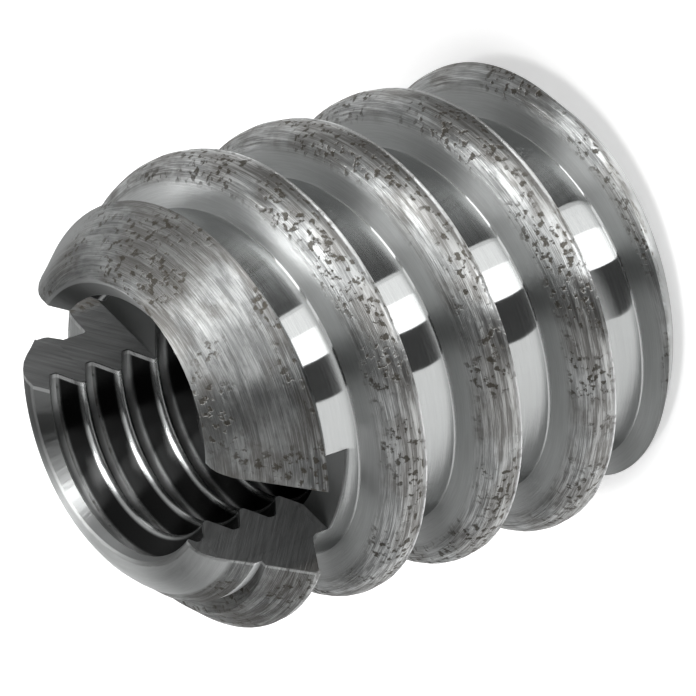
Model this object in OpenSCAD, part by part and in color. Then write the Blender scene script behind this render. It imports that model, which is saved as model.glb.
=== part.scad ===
// Screw-in threaded insert for wood: one turned piece of bright steel with a
// coarse wood thread outside, a machine thread inside and a driver slot
// sawn across one end. It stands on its plain end, with the slot upwards.

/* [Overall size] */
// Diameter over the crests of the wood thread
outer_d = 16; // [13.4:0.1:20]
// Length from the plain end to the slotted end
length = 18.3; // [12:0.1:30]

/* [Wood thread] */
// Axial distance from one turn to the next
pitch = 4; // [3.2:0.1:5]
// Diameter of the core between the turns
core_d = 12.5; // [10.4:0.1:14.4]
// Width of the ridge from its square wall to its rear corner, along the axis
crest_w = 1.4; // [0.8:0.05:1.8]
// Width of the rounded shoulder behind the square wall, along the axis
shoulder_w = 1.05; // [0.3:0.05:1.2]
// Height of the rounded shoulder, up to the highest line of the crest
shoulder_h = 1; // [0.3:0.05:1.2]
// How far the rear corner lies below the highest line of the crest
rear_drop = 0.1; // [0.05:0.05:0.3]
// Axial run of the flank that faces the plain end
rear_flank = 0.9; // [0.1:0.05:1.1]
// Flat steps that make up one turn of the flanks
steps_per_turn = 36; // [24:4:48]

/* [Bore] */
// Diameter of the tapped bore at the crests of its thread
bore_d = 8.5; // [6.8:0.1:10.2]
// Width of the 45 degree countersink round each mouth of the bore
countersink = 0.55; // [0.2:0.05:0.8]

/* [Ends] */
// Length of the tapered nose at the slotted end
nose_l = 3.2; // [1:0.1:4]
// Width of the flat ring left between the nose and the countersink
end_ring = 0.7; // [0.2:0.1:1.2]
// Length of the chamfer at the plain end, along the axis
back_chamfer = 1.4; // [0.5:0.1:2.5]
// Width of the chamfer at the plain end, inwards from the crests
back_chamfer_w = 1.3; // [0.5:0.1:1.6]

/* [Driver slot] */
// Width of the slot
slot_w = 3.4; // [1.6:0.1:4]
// Depth of the slot below the end face
slot_depth = 4.7; // [2:0.1:6]

/* [Hidden] */
$fn = 96;
outer_r = outer_d / 2;
core_r = core_d / 2;
thread_h = outer_r - core_r;
mouth_d = bore_d + 2 * countersink;
nose_r = mouth_d / 2 + end_ring;
// The ridge is rooted inside the core.
root_depth = 0.3;
root_r = core_r - root_depth;
// Space left round the crests by the body that trims both ends
trim_h = 0.3;
// A shallow ridge keeps some of its square wall under the rounded shoulder.
round_h = min(shoulder_h, 0.8 * thread_h);
round_w = min(shoulder_w, 0.9 * crest_w);
// Height of the ridge's middle where its helix starts, on the +X side
ridge_mid = 0.1;
lead_z = ridge_mid + crest_w / 2;
rear_z = ridge_mid - crest_w / 2;
// Past both ends, so that the thread runs out through the end faces
first_turn = -1;
last_turn = ceil(length / pitch) + 1;
ridge_steps = (last_turn - first_turn) * steps_per_turn;
// How far a cutting body reaches past the surface that it opens
over = 1;

// Corners of the ridge's section as [radius, height], counter-clockwise: the
// rear flank, the rear corner, the rounded shoulder and the square wall
function ridge_section() = [
    [root_r, rear_z - rear_flank * (outer_r - rear_drop - root_r) / (outer_r - rear_drop - core_r)],
    [outer_r - rear_drop, rear_z],
    for (a = [90:-30:0])
        [outer_r - round_h * (1 - sin(a)), lead_z - round_w * (1 - cos(a))],
    [root_r, lead_z]
];
corners = len(ridge_section());

// The section's corners at one step of the right-hand helix
function ridge_ring(step) =
    let (turn = first_turn + step / steps_per_turn)
    let (angle = 360 * turn)
    [for (corner = ridge_section())
        [corner[0] * cos(angle), corner[0] * sin(angle), corner[1] + pitch * turn]];

// One triangle pair for each side of the section, between a step and the next
function ridge_sides(step) =
    let (a = corners * step, b = corners * (step + 1))
    [for (i = [0:corners - 1]) let (j = (i + 1) % corners)
        each [[a + i, a + j, b + i], [a + j, b + j, b + i]]];

// The coarse ridge alone, longer than the insert at both ends
module wood_ridge() {
    last = corners * ridge_steps;
    points = [for (step = [0:ridge_steps]) each ridge_ring(step)];
    sides = [for (step = [0:ridge_steps - 1]) each ridge_sides(step)];
    ends = [[for (i = [corners - 1:-1:0]) i], [for (i = [0:corners - 1]) last + i]];
    polyhedron(points = points, faces = concat(sides, ends), convexity = 12);
}

// The body that trims both ends: a tapered nose and a chamfer
module turned_envelope() {
    free_r = outer_r + trim_h;
    back_slope = back_chamfer / back_chamfer_w;
    nose_slope = nose_l / (outer_r - nose_r);
    rotate_extrude()
        polygon([
            [0, 0],
            [outer_r - back_chamfer_w, 0],
            [free_r, back_chamfer + trim_h * back_slope],
            [free_r, length - nose_l - trim_h * nose_slope],
            [nose_r, length],
            [0, length]
        ]);
}

// The core between the turns
module core() {
    cylinder(r = core_r, h = length);
}

// Bore with a countersunk mouth at both ends
module bore() {
    translate([0, 0, -over])
        cylinder(d = bore_d, h = length + 2 * over);
    translate([0, 0, length - countersink])
        cylinder(d1 = bore_d, d2 = mouth_d + 2 * over, h = countersink + over);
    translate([0, 0, -over])
        cylinder(d1 = mouth_d + 2 * over, d2 = bore_d, h = countersink + over);
}

// Saw cut straight across the upper end, along X
module driver_slot() {
    translate([-outer_d, -slot_w / 2, length - slot_depth])
        cube([2 * outer_d, slot_w, slot_depth + over]);
}

module threaded_insert() {
    color("silver")
        difference() {
            intersection() {
                union() {
                    core();
                    wood_ridge();
                }
                turned_envelope();
            }
            bore();
            driver_slot();
        }
}

threaded_insert();
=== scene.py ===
from math import cos, pi, radians, sin
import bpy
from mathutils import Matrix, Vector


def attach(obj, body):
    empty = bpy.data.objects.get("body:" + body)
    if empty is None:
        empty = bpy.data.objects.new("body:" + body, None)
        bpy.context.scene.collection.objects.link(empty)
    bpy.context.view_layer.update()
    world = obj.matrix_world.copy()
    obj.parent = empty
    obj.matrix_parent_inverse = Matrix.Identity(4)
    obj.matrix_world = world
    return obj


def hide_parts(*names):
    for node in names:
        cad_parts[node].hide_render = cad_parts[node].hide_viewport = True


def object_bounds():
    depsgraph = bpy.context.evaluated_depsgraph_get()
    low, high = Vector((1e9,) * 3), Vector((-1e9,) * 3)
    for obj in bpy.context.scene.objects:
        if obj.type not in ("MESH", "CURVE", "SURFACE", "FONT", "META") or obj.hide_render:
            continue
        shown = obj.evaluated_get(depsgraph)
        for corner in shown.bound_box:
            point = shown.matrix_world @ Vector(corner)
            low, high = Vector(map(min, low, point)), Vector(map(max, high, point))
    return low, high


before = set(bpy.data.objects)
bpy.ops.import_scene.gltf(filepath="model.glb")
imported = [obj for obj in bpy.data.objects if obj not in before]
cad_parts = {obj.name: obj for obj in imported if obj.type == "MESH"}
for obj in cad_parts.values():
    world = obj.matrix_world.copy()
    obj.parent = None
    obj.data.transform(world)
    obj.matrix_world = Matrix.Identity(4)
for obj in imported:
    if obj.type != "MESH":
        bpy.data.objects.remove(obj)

from types import SimpleNamespace

import bpy
from mathutils import Matrix, Vector

cad_low, cad_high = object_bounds()

# ---- sizes of the insert, in millimetres ----

MM = 0.001
OUTER_R = round(cad_high.x / MM, 2)
LENGTH = round(cad_high.z / MM, 2)
CORE_R = 6.25

# The ridge of the wood thread, along the axis from its square wall to its rear corner
PITCH = 4.0
CREST_W = 1.4
RIDGE_MID = 0.07
LEAD_Z = RIDGE_MID + CREST_W / 2
REAR_Z = RIDGE_MID - CREST_W / 2
SHOULDER_W = 1.05
SHOULDER_H = 1.0
REAR_DROP = 0.1
REAR_FLANK = 0.9

# The two ends and the driver slot
NOSE_L = 3.2
NOSE_Z = LENGTH - NOSE_L
NOSE_FACE_R = 5.5
COLLAR_Z = 15.9
COLLAR_R = CORE_R + 0.36
BACK_CHAMFER = 1.4
BACK_FACE_R = 6.7
SLOT_W = 3.4
SLOT_DEPTH = 4.7
SLOT_Z = LENGTH - SLOT_DEPTH

# The tapped bore, with the thread of an M10 screw, and its countersunk mouths
TAP_PITCH = 1.5
TAP_CREST_R = 4.25
TAP_ROOT_R = 4.98
MOUTH_R = 4.8
MOUTH_DEPTH = MOUTH_R - TAP_CREST_R

# Steps in one turn of each kind of body
RIDGE_STEPS = 144
BLANK_STEPS = 256
ROUND_STEPS = 192
TAP_STEPS = 96

# How far a cutting body reaches past the surface that it opens
OVER = 1.0
# Points nearer than this are one point
SAME_PLACE = 0.0005


# ---- working by hand ----

def clear_selection():
    if bpy.context.object and bpy.context.object.mode != "OBJECT":
        bpy.ops.object.mode_set(mode="OBJECT")
    bpy.ops.object.select_all(action="DESELECT")


def take(piece):
    """Makes one piece the only selected one."""
    clear_selection()
    piece.select_set(True)
    bpy.context.view_layer.objects.active = piece


def edit_all(piece):
    """Takes a piece into edit mode with everything on it selected."""
    take(piece)
    bpy.ops.object.mode_set(mode="EDIT")
    bpy.ops.mesh.select_all(action="SELECT")


def start_from_point(name, place):
    """A new piece of a single vertex, left in edit mode with that vertex selected."""
    clear_selection()
    bpy.ops.mesh.primitive_plane_add(size=0.1 * MM, location=place)
    piece = bpy.context.object
    piece.name = piece.data.name = name
    bpy.ops.object.transform_apply(location=True, rotation=True, scale=True)
    bpy.ops.object.mode_set(mode="EDIT")
    bpy.ops.mesh.select_mode(type="VERT")
    bpy.ops.mesh.select_all(action="SELECT")
    bpy.ops.mesh.merge(type="CENTER")
    return piece


def draw_section(name, corners):
    """A line through [radius, height] corners, drawn by extruding one vertex along."""
    first_r, first_z = corners[0]
    piece = start_from_point(name, (first_r * MM, 0, first_z * MM))
    for (r0, z0), (r1, z1) in zip(corners, corners[1:]):
        move = ((r1 - r0) * MM, 0, (z1 - z0) * MM)
        bpy.ops.mesh.extrude_vertices_move(TRANSFORM_OT_translate={"value": move})
    bpy.ops.object.mode_set(mode="OBJECT")
    return piece


def carry_round(piece, steps, pitch=0, turns=1):
    """Carries a section round the axis, rising by one pitch a turn."""
    take(piece)
    screw = piece.modifiers.new("turns", "SCREW")
    screw.axis = "Z"
    screw.angle = 2 * pi
    screw.screw_offset = pitch * MM
    screw.iterations = turns
    screw.steps = screw.render_steps = steps
    screw.use_smooth_shade = True
    bpy.ops.object.modifier_apply(modifier=screw.name)
    edit_all(piece)
    bpy.ops.mesh.remove_doubles(threshold=SAME_PLACE * MM)
    bpy.ops.object.mode_set(mode="OBJECT")


def close_end(piece, upper):
    """Closes one open end with a fan of faces to a point on the axis."""
    take(piece)
    bpy.ops.object.mode_set(mode="EDIT")
    bpy.ops.mesh.select_mode(type="EDGE")
    bpy.ops.mesh.select_all(action="DESELECT")
    bpy.ops.mesh.select_non_manifold(extend=False, use_wire=False, use_boundary=True,
                                     use_multi_face=False, use_non_contiguous=False,
                                     use_verts=False)
    bpy.ops.object.mode_set(mode="OBJECT")
    mesh = piece.data

    def height(edge):
        return sum(mesh.vertices[i].co.z for i in edge.vertices) / 2

    rim = [edge for edge in mesh.edges
           if edge.select and (height(edge) > LENGTH / 2 * MM) == upper]
    for element in (*mesh.vertices, *mesh.edges, *mesh.polygons):
        element.select = False
    for edge in rim:
        edge.select = True
        for i in edge.vertices:
            mesh.vertices[i].select = True
    heights = [v.co.z for v in mesh.vertices if v.select]
    tip = (0, 0, (min(heights) + max(heights)) / 2)
    bpy.ops.object.mode_set(mode="EDIT")
    bpy.ops.mesh.extrude_edges_move(TRANSFORM_OT_translate={"value": (0, 0, 0)})
    bpy.ops.transform.resize(value=(0, 0, 0), center_override=tip)
    bpy.ops.mesh.remove_doubles(threshold=SAME_PLACE * MM)
    bpy.ops.object.mode_set(mode="OBJECT")


def face_outwards(piece):
    edit_all(piece)
    bpy.ops.mesh.normals_make_consistent(inside=False)
    bpy.ops.object.mode_set(mode="OBJECT")


def turn_solid(name, corners, steps=ROUND_STEPS):
    """A round solid from a section that starts and ends on the axis."""
    solid = draw_section(name, corners)
    carry_round(solid, steps)
    face_outwards(solid)
    return solid


def wind_solid(name, section, steps, pitch, turns_below, turns):
    """A screw-shaped solid from the section of one pitch, longer than the insert at both ends."""
    solid = draw_section(name, [(r, z - turns_below * pitch) for r, z in section])
    carry_round(solid, steps, pitch, turns)
    close_end(solid, upper=False)
    close_end(solid, upper=True)
    face_outwards(solid)
    return solid


def combine(piece, other, operation):
    """Cuts, trims or joins a piece with another, which is used up."""
    take(piece)
    boolean = piece.modifiers.new(operation.lower(), "BOOLEAN")
    boolean.operation = operation
    boolean.object = other
    boolean.solver = "MANIFOLD"
    bpy.ops.object.modifier_apply(modifier=boolean.name)
    bpy.data.objects.remove(other)


# ---- the insert ----

def thread_section():
    """One pitch of the wood thread, from a seam in one root to the same seam in the next."""
    seam_z = PITCH / 2 - 0.35
    rear_r, rear_base = OUTER_R - REAR_DROP, REAR_Z - REAR_FLANK
    shoulder_z, shoulder_r = LEAD_Z - SHOULDER_W, OUTER_R - SHOULDER_H
    slopes = [radians(a) for a in range(75, -1, -15)]
    shoulder = [(shoulder_r + SHOULDER_H * sin(a), shoulder_z + SHOULDER_W * cos(a)) for a in slopes]
    return [
        (CORE_R, seam_z - PITCH),
        # The hollow at the foot of the rear flank
        (CORE_R, rear_base - 0.3),
        (CORE_R + 0.03, rear_base - 0.14),
        (CORE_R + 0.12, rear_base),
        (CORE_R + 0.3, rear_base + 0.13),
        # The rear corner, with the burr that the tool pushed up along it
        (rear_r - 0.06, REAR_Z - 0.07),
        (rear_r + 0.04, REAR_Z - 0.06),
        (rear_r + 0.05, REAR_Z),
        (rear_r + 0.01, REAR_Z + 0.06),
        # The highest line of the crest, then the rounded shoulder down to the square wall
        (OUTER_R - 0.02, shoulder_z - 0.12),
        (OUTER_R, shoulder_z),
        *shoulder,
        # The hollow at the foot of the square wall
        (CORE_R + 0.14, LEAD_Z + 0.01),
        (CORE_R + 0.04, LEAD_Z + 0.05),
        (CORE_R, LEAD_Z + 0.14),
        (CORE_R, seam_z),
    ]


def threaded_bar():
    return wind_solid("threaded_insert_steel", thread_section(), RIDGE_STEPS, PITCH,
                      turns_below=2, turns=9)


def collar():
    """The thicker root under the nose, where the ridge fades out."""
    return turn_solid("collar", [
        (0, COLLAR_Z),
        (CORE_R - 0.05, COLLAR_Z),
        (CORE_R + 0.05, COLLAR_Z + 0.1),
        (COLLAR_R - 0.04, COLLAR_Z + 0.45),
        (COLLAR_R, COLLAR_Z + 0.6),
        (COLLAR_R, LENGTH + OVER),
        (0, LENGTH + OVER),
    ])


def turned_blank():
    """What trims the bar: a tapered nose at the slotted end, a chamfer at the other."""
    free_r = OUTER_R + 0.4
    back_taper = (OUTER_R - BACK_FACE_R) / BACK_CHAMFER
    nose_taper = (OUTER_R - NOSE_FACE_R) / NOSE_L
    # Just below its end the nose swells a little, before it rounds over to the end face
    swell = [(NOSE_FACE_R + below * nose_taper + extra, LENGTH - below)
             for below, extra in ((1.1, 0.02), (0.7, 0.05), (0.4, 0.03))]
    return turn_solid("turned_blank", [
        (0, 0),
        (BACK_FACE_R - 0.06, 0),
        (BACK_FACE_R + 0.03, 0.05),
        (free_r, BACK_CHAMFER + (free_r - OUTER_R) / back_taper),
        (free_r, NOSE_Z - (free_r - OUTER_R) / nose_taper),
        *swell,
        (NOSE_FACE_R + 0.08, LENGTH - 0.18),
        (NOSE_FACE_R - 0.12, LENGTH - 0.06),
        (NOSE_FACE_R - 0.36, LENGTH),
        (0, LENGTH),
    ], BLANK_STEPS)


def tap():
    """The body of the tap, which cuts its thread right through."""
    # From the middle of a crest over its rounded edge, then down the flank to a root
    half = [
        (TAP_CREST_R, TAP_PITCH / 2),
        (TAP_CREST_R, 0.71),
        (TAP_CREST_R + 0.012, 0.675),
        (TAP_CREST_R + 0.04, 0.643),
        (TAP_CREST_R + 0.085, 0.61),
        (TAP_ROOT_R - 0.03, 0.16),
        (TAP_ROOT_R, 0.1),
    ]
    section = [(r, -z) for r, z in half] + half[::-1]
    return wind_solid("tap", section, TAP_STEPS, TAP_PITCH, turns_below=3, turns=18)


def countersink(upper):
    """The cone that opens one mouth of the bore."""
    inside = 0.3
    tip_z = LENGTH - MOUTH_DEPTH - inside
    corners = [
        (0, tip_z),
        (TAP_CREST_R - inside, tip_z),
        (MOUTH_R + OVER, LENGTH + OVER),
        (0, LENGTH + OVER),
    ]
    if not upper:
        corners = [(r, LENGTH - z) for r, z in corners]
    return turn_solid("countersink", corners)


def saw_cut():
    """The driver slot, straight across the upper end along X."""
    clear_selection()
    middle_z = LENGTH - SLOT_DEPTH / 2 + OVER
    bpy.ops.mesh.primitive_cube_add(size=1, location=(0, 0, middle_z * MM))
    cut = bpy.context.object
    bpy.ops.transform.resize(value=(2.5 * OUTER_R * MM, SLOT_W * MM, (SLOT_DEPTH + 2 * OVER) * MM))
    bpy.ops.object.transform_apply(location=True, rotation=True, scale=True)
    return cut


def make_insert():
    insert = threaded_bar()
    combine(insert, collar(), "UNION")
    combine(insert, turned_blank(), "INTERSECT")
    combine(insert, tap(), "DIFFERENCE")
    combine(insert, countersink(upper=True), "DIFFERENCE")
    combine(insert, countersink(upper=False), "DIFFERENCE")
    combine(insert, saw_cut(), "DIFFERENCE")
    edit_all(insert)
    bpy.ops.mesh.dissolve_degenerate(threshold=SAME_PLACE * MM)
    bpy.ops.mesh.remove_doubles(threshold=SAME_PLACE * MM)
    bpy.ops.object.mode_set(mode="OBJECT")
    bpy.ops.object.shade_smooth_by_angle(angle=radians(28))
    return insert


# ---- working with shader nodes ----

class Value:
    """The result of a shader node, so that sums and products can be written out."""

    def __init__(self, tree, socket):
        self.tree, self.socket = tree, socket

    def _math(self, operation, *values):
        node = self.tree.nodes.new("ShaderNodeMath")
        node.operation = operation
        for place, value in enumerate(values):
            connect(self.tree, value, node.inputs[place])
        return Value(self.tree, node.outputs[0])

    def __add__(self, other):
        return self._math("ADD", self, other)

    def __sub__(self, other):
        return self._math("SUBTRACT", self, other)

    def __rsub__(self, other):
        return self._math("SUBTRACT", other, self)

    def __mul__(self, other):
        return self._math("MULTIPLY", self, other)

    def __truediv__(self, other):
        return self._math("DIVIDE", self, other)

    def __pow__(self, other):
        return self._math("POWER", self, other)

    def __mod__(self, other):
        return self._math("FLOORED_MODULO", self, other)

    def __abs__(self):
        return self._math("ABSOLUTE", self)

    __radd__ = __add__
    __rmul__ = __mul__


def connect(tree, value, socket):
    if isinstance(value, Value):
        tree.links.new(value.socket, socket)
    else:
        socket.default_value = value


class Finish:
    """A material: node adds any of its nodes, and the others are short names for common ones."""

    def __init__(self, name):
        self.material = bpy.data.materials.new(name)
        self.material.use_nodes = True
        self.tree = self.material.node_tree
        self.tree.nodes.clear()

    def node(self, kind, settings, sockets, output=0):
        node = self.tree.nodes.new("ShaderNode" + kind)
        for name, value in settings.items():
            setattr(node, name, value)
        for name, value in sockets.items():
            connect(self.tree, value, node.inputs[name])
        return None if output is None else Value(self.tree, node.outputs[output])

    def show(self, surface):
        """Ends the material in a shader, and gives it back."""
        self.node("OutputMaterial", {}, {"Surface": surface}, None)
        return self.material

    def step(self, value, low, high):
        """Goes smoothly from 0, where a value is low, to 1, where it is high."""
        return self.node("MapRange", {"interpolation_type": "SMOOTHSTEP"},
                         {"Value": value, "From Min": low, "From Max": high})

    def either(self, first, second):
        """Is 1 where at least one of two masks is."""
        return self.node("Math", {"operation": "MINIMUM"}, {0: first + second, 1: 1.0})

    def blend(self, amount, first, second):
        """A colour that goes from first to second, through the Mix node's colour sockets."""
        return self.node("Mix", {"data_type": "RGBA"}, {0: amount, 6: first, 7: second}, 2)

    def vector(self, x, y, z):
        return self.node("CombineXYZ", {}, {"X": x, "Y": y, "Z": z})

    def noise(self, vector, scale, detail, roughness):
        return self.node("TexNoise", {}, {"Vector": vector, "Scale": scale, "Detail": detail,
                                          "Roughness": roughness})


def mix(amount, first, second):
    """A number that goes from first to second."""
    return first + (second - first) * amount


# ---- turned steel ----

def places_on_insert(f):
    """Where a point lies, in millimetres, and a mask for each kind of surface."""
    at = SimpleNamespace()
    place = f.node("TexCoord", {}, {}, "Object")
    at.place = f.node("VectorMath", {"operation": "SCALE"}, {"Vector": place, "Scale": 1 / MM})
    at.x, at.y, at.z = (f.node("SeparateXYZ", {}, {"Vector": at.place}, axis) for axis in "XYZ")
    at.radius = (at.x * at.x + at.y * at.y) ** 0.5
    normal = f.node("NewGeometry", {}, {}, "Normal")
    tilt = f.node("SeparateXYZ", {}, {"Vector": normal}, "Z")
    slope = abs(tilt)

    # Height over the helix that the ridge's section is drawn from, with its jump in the root
    jump = 1.95
    turn = f.node("Math", {"operation": "ARCTAN2"}, {0: at.y, 1: at.x}) / (2 * pi)
    at.across = (at.z / PITCH - turn + jump / PITCH) % 1 * PITCH - jump

    at.crest = f.step(at.radius, OUTER_R - 1, OUTER_R - 0.5)
    at.top = at.crest * (1 - f.step(at.across, 0.1, 0.45))
    at.burr = at.crest * (1 - f.step(abs(at.across - REAR_Z), 0.03, 0.11))
    at.burr = at.burr * f.step(at.radius, OUTER_R - 0.2, OUTER_R - 0.1)
    at.land = f.step(at.radius, CORE_R - 0.65, CORE_R - 0.35) * (1 - f.step(slope, 0.4, 0.6))
    at.land = at.land * (1 - f.step(at.radius, CORE_R + 0.03, CORE_R + 0.11))
    at.chamfer = 1 - f.step(tilt, -0.75, -0.6)

    # Two stretches of the nose stayed clean: the tip beside the slot, and the rim across from it,
    # whose colour also carries a painted highlight
    outside_mouth = f.step(at.radius, MOUTH_R + 0.1, MOUTH_R + 0.2)
    beyond_slot = 1 - f.step(at.y, -SLOT_W / 2 - 0.2, -SLOT_W / 2)
    nose = f.step(tilt, 0.2, 0.35) * f.step(at.z, NOSE_Z + 0.1, NOSE_Z + 0.4) * outside_mouth
    at.clean_rim = f.step(at.z, LENGTH - 0.9, LENGTH - 0.7) * beyond_slot * outside_mouth
    at.clean = f.either(at.clean_rim, nose * (1 - f.step(at.x, -5.6, -4.2)))
    at.nose = nose * (1 - at.clean)
    at.rough_skin = f.either(at.crest * (1 - at.clean * 0.8), at.nose)

    at.bore = 1 - f.step(at.radius, MOUTH_R + 0.05, MOUTH_R + 0.25)
    at.bore = at.bore * (1 - f.step(at.z, LENGTH - 0.7, LENGTH - MOUTH_DEPTH))
    at.bore_crest = at.bore * (1 - f.step(at.radius, TAP_CREST_R + 0.05, TAP_CREST_R + 0.15))
    at.mouth = 1 - f.step(at.radius, MOUTH_R - 0.02, MOUTH_R + 0.02)
    at.mouth = at.mouth * f.step(at.z, LENGTH - 0.6, LENGTH - 0.5)

    at.slot = 1 - f.step(abs(at.y), SLOT_W / 2 + 0.01, SLOT_W / 2 + 0.04)
    at.slot = at.slot * f.step(at.z, SLOT_Z - 0.2, SLOT_Z - 0.02)
    at.slot_wall = at.slot * (1 - f.step(slope, 0.3, 0.6))
    at.slot_edge = 1 - f.step(abs(at.y + (SLOT_W / 2 + 0.1)), 0.04, 0.08)
    at.slot_edge = at.slot_edge * f.step(at.z, SLOT_Z, SLOT_Z + 0.1) * f.step(tilt, -0.2, 0.1)
    return at


def marks_on_insert(f, at):
    """Tool marks that run round with the turning, and the stains and rust specks over them."""
    marks = SimpleNamespace()
    run = at.across - at.radius
    fine_lines = f.vector(at.x * 0.22, at.y * 0.22, run * 8)
    marks.lines = f.noise(fine_lines, scale=3.2, detail=4, roughness=0.6)
    long_tears = f.vector(at.x * 0.34, at.y * 0.34, run * 2.6)
    marks.torn = f.noise(long_tears, scale=1.9, detail=4, roughness=0.6)
    marks.streaks = f.step(marks.torn * 0.55 + marks.lines * 0.45, 0.42, 0.6)
    patches = f.noise(f.vector(at.x, at.y, run * 1.6), scale=0.8, detail=4, roughness=0.65)
    marks.mottle = f.step(patches, 0.42, 0.6)

    # Brown tarnish, which is strongest at one stain on the nose
    from_stain = ((at.x + 0.7) ** 2 + (at.y - 6.5) ** 2 + (at.z - 16.8) ** 2) ** 0.5
    stain = 1 - f.step(from_stain, 0.7, 2.4)
    blotches = f.noise(at.place, scale=0.5, detail=4, roughness=0.6)
    brown = f.step(blotches + at.top * 0.1 + stain * 0.3, 0.44, 0.62)
    marks.tarnish = at.rough_skin * brown * (1 - marks.streaks * 0.45)

    # Ragged specks of rust, in clusters
    grains = f.noise(at.place, scale=5.5, detail=3, roughness=0.6)
    spots = f.node("TexVoronoi", {"feature": "F1"}, {"Vector": at.place, "Scale": 3.4}, "Distance")
    specks = 1 - f.step(spots - (grains - 0.5) * 2.2, 0.12, 0.44)
    clusters = f.noise(f.vector(at.x, at.y, at.z + 9), scale=0.45, detail=2, roughness=0.5)
    clustered = f.step(clusters + at.top * 0.06 + stain * 0.05, 0.43, 0.56)
    marks.rust = at.rough_skin * specks * clustered
    return marks


def steel_colour(f, at, marks):
    base = mix(at.land, 0.62, 0.42) * (0.8 + marks.lines * 0.4)
    base = base * mix(at.crest, 1.0, 0.64 + marks.streaks * 0.42)
    base = base * mix(at.nose, 1.0, 0.45 + marks.streaks * 0.3 + marks.mottle * 0.22)
    # Painted highlight: the clean rim's colour grows lighter towards +x
    clean_base_and_painted_highlight = mix(at.clean_rim, 0.6, 0.3 + f.step(at.x, -2.5, 3.5) * 0.5)
    base = mix(at.clean, base, clean_base_and_painted_highlight * (0.85 + marks.torn * 0.3))
    base = mix(at.mouth, base, 0.3)
    # Painted shade: the bore's walls are darkened nearly to black, and its thread crests get a
    # painted highlight
    base = mix(at.bore, base, 0.02 + at.bore_crest * 0.55)
    # Painted shade: the slot's floor and walls are darkened, and the walls carry tool marks over it
    base = mix(at.slot, base, 0.34)
    base = mix(at.slot_wall, base, 0.09 + marks.torn * 0.24)
    colour = f.blend(base, (0, 0, 0, 1), (0.98, 1.0, 0.995, 1))
    colour = f.blend(marks.tarnish * 0.6, colour, (0.2, 0.187, 0.17, 1))
    colour = f.blend(marks.rust * 0.8, colour, (0.1, 0.088, 0.068, 1))
    # Painted highlight: a light line along the burr on each crest's rear corner and along one edge of
    # the slot
    painted_edge_highlight = f.either(at.burr, at.slot_edge) * f.step(marks.torn, 0.35, 0.5)
    return f.blend(painted_edge_highlight * 0.6, colour, (0.9, 0.91, 0.91, 1))


def steel_roughness(at, marks):
    rough = mix(at.rough_skin, 0.38, 0.5 - marks.streaks * 0.12)
    rough = mix(at.nose, rough, 0.64 - marks.streaks * 0.1)
    rough = mix(at.clean, rough, 0.6)
    rough = mix(at.land, rough, 0.07 + marks.lines * 0.08)
    rough = mix(at.chamfer, rough, 0.55)
    rough = mix(at.bore, rough, 0.24)
    rough = mix(at.slot, rough, 0.6)
    return mix(marks.rust, rough, 0.75)


def steel_height(at, marks):
    """Height of the surface over the plain form, in millimetres."""
    height = marks.lines * mix(at.land, 0.01, 0.0008) * (1 - at.bore)
    height = height + at.rough_skin * (marks.torn * 0.04 + marks.lines * 0.01)
    return height - marks.rust * 0.01 + at.slot * marks.torn * 0.02


def turned_steel():
    """Bright turned steel: smooth in the roots, torn on the crests, with painted shade that darkens
    the bore and the slot.
    """
    f = Finish("turned_steel")
    at = places_on_insert(f)
    marks = marks_on_insert(f, at)
    bump = f.node("Bump", {}, {"Height": steel_height(at, marks), "Strength": 1.0, "Distance": MM})
    # The turned grain runs round the axis, and spreads reflections across itself
    return f.show(f.node("BsdfPrincipled", {}, {
        "Base Color": steel_colour(f, at, marks),
        "Metallic": 1.0,
        "Roughness": steel_roughness(at, marks),
        "Normal": bump,
        "Anisotropic": 1.0,
        "Anisotropic Rotation": 0.25,
    }))


# ---- floor, light and camera ----

CAMERA_AZIMUTH = 46.9
CAMERA_ELEVATION = 33.27
CAMERA_ROLL = -108.42
CAMERA_DISTANCE = 409.7
LENS = 630.7
# What the camera aims at: a height on the axis, then a shift to its own right and upwards
AIM_Z = 9
AIM_RIGHT = 0.268
AIM_UP = 0.0225

# Where the cards are that only reflections show: round the insert, and on the floor
CARD_DISTANCE = 150
FLOOR_CARD_R = 8.8
FLOOR_CARD_SPREAD = 7
FLOOR_CARD_Z = 0.05


def direction(azimuth, elevation):
    """The unit vector towards a bearing and a height above the horizon, in degrees."""
    a, e = radians(azimuth), radians(elevation)
    return Vector((cos(a) * cos(e), sin(a) * cos(e), sin(e)))


def make_floor():
    """A pale floor that shows white and keeps the insert's shadow."""
    clear_selection()
    bpy.ops.mesh.primitive_plane_add(size=2.0, location=(0, 0, 0))
    floor = bpy.context.object
    floor.name = "floor"
    f = Finish("pale_floor")
    paper = f.node("BsdfDiffuse", {}, {"Color": (0.8, 0.8, 0.8, 1)})
    glow = f.node("Emission", {}, {"Color": (1, 1, 1, 1), "Strength": 0.4})
    lifted = f.node("AddShader", {}, {0: paper, 1: glow})
    camera, glossy, passing = (f.node("LightPath", {}, {}, f"Is {ray} Ray")
                               for ray in ("Camera", "Glossy", "Transmission"))
    seen = camera + glossy + passing
    floor.data.materials.append(f.show(f.node("MixShader", {}, {0: seen, 1: paper, 2: lifted})))


def make_world(strength):
    world = bpy.data.worlds.new("world")
    world.use_nodes = True
    background = world.node_tree.nodes["Background"]
    background.inputs["Color"].default_value = (1, 1, 1, 1)
    background.inputs["Strength"].default_value = strength
    bpy.context.scene.world = world


def add_softbox(name, azimuth, elevation, distance, width, power):
    """A square soft lamp that lights the floor and doesn't show in reflections."""
    out = direction(azimuth, elevation)
    data = bpy.data.lights.new(name, "AREA")
    data.size = width * MM
    data.energy = power
    lamp = bpy.data.objects.new(name, data)
    bpy.context.scene.collection.objects.link(lamp)
    lamp.location = (out * distance + Vector((0, 0, LENGTH / 2))) * MM
    lamp.rotation_euler = out.to_track_quat("Z", "Y").to_euler()
    lamp.visible_camera = lamp.visible_glossy = False


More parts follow.
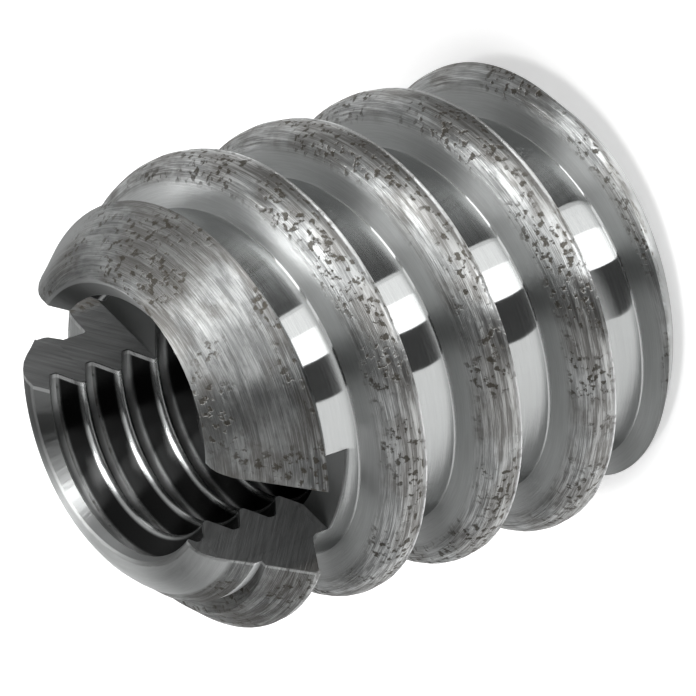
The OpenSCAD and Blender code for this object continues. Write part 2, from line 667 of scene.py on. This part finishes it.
def make_camera():
    back = direction(CAMERA_AZIMUTH, CAMERA_ELEVATION)
    data = bpy.data.cameras.new("camera")
    data.lens = LENS
    data.sensor_width = 36
    data.clip_start, data.clip_end = 0.01, 10
    camera = bpy.data.objects.new("camera", data)
    bpy.context.scene.collection.objects.link(camera)
    upright = back.to_track_quat("Z", "Y").to_matrix()
    rolled = upright @ Matrix.Rotation(radians(CAMERA_ROLL), 3, "Z")
    right, up = rolled.col[0], rolled.col[1]
    aim = Vector((0, 0, AIM_Z)) + right * AIM_RIGHT + up * AIM_UP
    camera.matrix_world = Matrix.Translation((aim + back * CAMERA_DISTANCE) * MM) @ rolled.to_4x4()
    bpy.context.scene.camera = camera


def show_in_reflections(card, brightness):
    """Makes a card an even light or dark that only reflections show."""
    f = Finish(card.name)
    glow = f.node("Emission", {}, {"Color": (1, 1, 1, 1), "Strength": brightness})
    card.data.materials.append(f.show(glow))
    card.visible_camera = card.visible_diffuse = card.visible_shadow = False


def floor_card(name, azimuth_from, azimuth_to, brightness):
    """A card lying on the floor round part of the insert, between two bearings."""
    clear_selection()
    middle = (0, 0, FLOOR_CARD_Z * MM)
    bpy.ops.mesh.primitive_circle_add(vertices=360, radius=FLOOR_CARD_R * MM, location=middle)
    card = bpy.context.object
    card.name = name
    bpy.ops.object.mode_set(mode="EDIT")
    bpy.ops.mesh.extrude_edges_move(TRANSFORM_OT_translate={"value": (0, 0, 0)})
    bpy.ops.transform.resize(value=(FLOOR_CARD_SPREAD, FLOOR_CARD_SPREAD, 1), center_override=middle)
    bpy.ops.mesh.select_mode(type="FACE")
    bpy.ops.mesh.select_all(action="DESELECT")
    bpy.ops.object.mode_set(mode="OBJECT")
    heading = direction((azimuth_from + azimuth_to) / 2, 0)
    half_spread = radians(azimuth_to - azimuth_from) / 2
    for face in card.data.polygons:
        face.select = face.center.normalized().dot(heading) < cos(half_spread)
    bpy.ops.object.mode_set(mode="EDIT")
    bpy.ops.mesh.delete(type="FACE")
    bpy.ops.object.mode_set(mode="OBJECT")
    show_in_reflections(card, brightness)


def arch_card(name, turn_from, turn_to, brightness, reach):
    """A band bent over the insert, from the floor up, through an angle of reach.

    Turned metal spreads a reflection across its grain, so one band lights one
    stretch of every ridge, between two turns from the camera's own bearing.
    """
    ends = []
    for turn in (turn_from, turn_to):
        bearing = direction(CAMERA_AZIMUTH + turn, 0)
        sideways = Vector((-bearing.y, bearing.x, 0))
        aside = cos(radians(CAMERA_ELEVATION)) * sin(radians(turn))
        ends.append((bearing * (1 - aside ** 2) ** 0.5 + sideways * aside) * CARD_DISTANCE * MM)
    card = start_from_point(name, ends[0])
    bpy.ops.mesh.extrude_vertices_move(TRANSFORM_OT_translate={"value": ends[1] - ends[0]})
    bpy.ops.mesh.select_all(action="SELECT")
    middle = direction(CAMERA_AZIMUTH + (turn_from + turn_to) / 2, 0)
    bpy.ops.mesh.spin(steps=36, angle=radians(reach), center=(0, 0, 0),
                      axis=(-middle.y, middle.x, 0))
    bpy.ops.object.mode_set(mode="OBJECT")
    show_in_reflections(card, brightness)


def standing_card(name, azimuth, elevation, width, height, brightness):
    """A flat card that faces the insert."""
    out = direction(azimuth, elevation)
    clear_selection()
    bpy.ops.mesh.primitive_plane_add(size=MM, location=out * CARD_DISTANCE * MM,
                                     rotation=out.to_track_quat("Z", "Y").to_euler())
    card = bpy.context.object
    card.name = name
    card.scale = (width, height, 1)
    bpy.ops.object.transform_apply(location=True, rotation=True, scale=True)
    show_in_reflections(card, brightness)


def make_stage():
    make_floor()
    floor_card("bright_card", 45, 61, brightness=3.5)
    floor_card("dark_card_low", 23, 45, brightness=0.09)
    floor_card("dark_card_high", 75, 150, brightness=0.08)
    floor_card("bright_card_wide", 61, 73, brightness=2.0)
    arch_card("dark_arch", -13, -1, brightness=0.06, reach=125)
    arch_card("dark_side_arch", -92, -75, brightness=0.08, reach=125)
    arch_card("near_arch", -1, 8, brightness=0.9, reach=64)
    arch_card("middle_arch", 8, 15, brightness=1.5, reach=64)
    arch_card("bright_arch", 19, 31, brightness=2.9, reach=66)
    standing_card("arch_back", 208, 56, width=34, height=40, brightness=6)
    standing_card("bore_lamp", 130, 71, width=30, height=30, brightness=24)
    add_softbox("over", 0, 80, distance=260, width=160, power=0.7)
    make_world(strength=0.5)


insert = make_insert()
insert.data.materials.clear()
insert.data.materials.append(turned_steel())
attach(insert, "root")
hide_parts("threaded_insert")

make_stage()
make_camera()
bpy.context.scene.view_settings.view_transform = "Standard"
